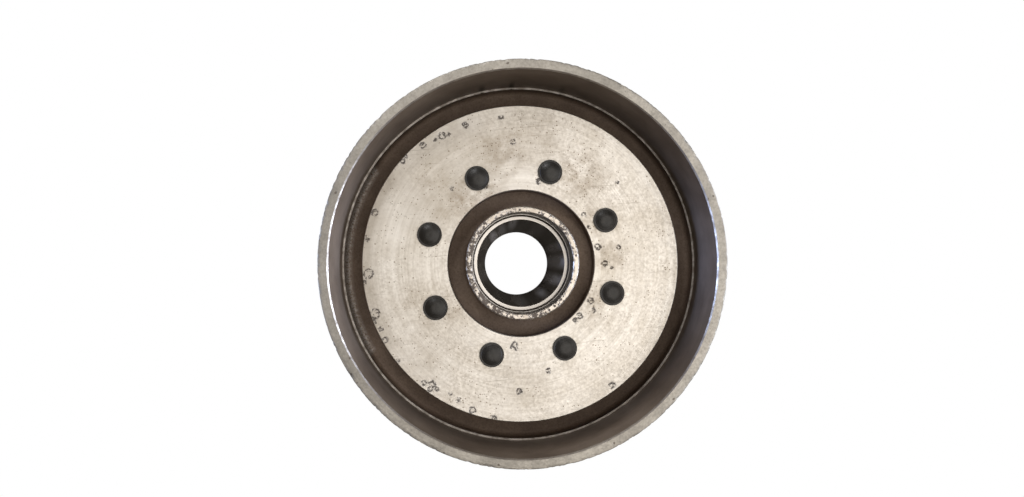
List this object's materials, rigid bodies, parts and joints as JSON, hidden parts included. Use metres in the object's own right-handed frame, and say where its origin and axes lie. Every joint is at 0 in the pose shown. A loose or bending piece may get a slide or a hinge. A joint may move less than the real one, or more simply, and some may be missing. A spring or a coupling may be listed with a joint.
{
  "type": "cup flywheel",
  "caption": "Steel cup flywheel with a bored inner wall, turned land, trench, riveted hub with a counterbored taper bore.",
  "frame": {"origin": "on the wheel's axis, in the plane of the hub's rear face, the lowest face", "axes": "+Z along the axis, out of the open side of the cup; +X and +Y each pass midway between two rivets"},
  "size_m": [0.124, 0.124, 0.052],
  "materials": {
    "forged_steel": "turned steel, worn and lightly rust-spotted, brown oxide in the trench",
    "hub_steel": "turned and ground steel, pitted nose face, brown oxide in the groove",
    "rivet_steel": "black oxide, satin"
  },
  "bodies": {
    "root": {"flywheel_body": "forged_steel", "hub": "hub_steel", "rivet_1": "rivet_steel", "rivet_2": "rivet_steel", "rivet_3": "rivet_steel", "rivet_4": "rivet_steel", "rivet_5": "rivet_steel", "rivet_6": "rivet_steel", "rivet_7": "rivet_steel", "rivet_8": "rivet_steel"}
  },
  "joints": []
}
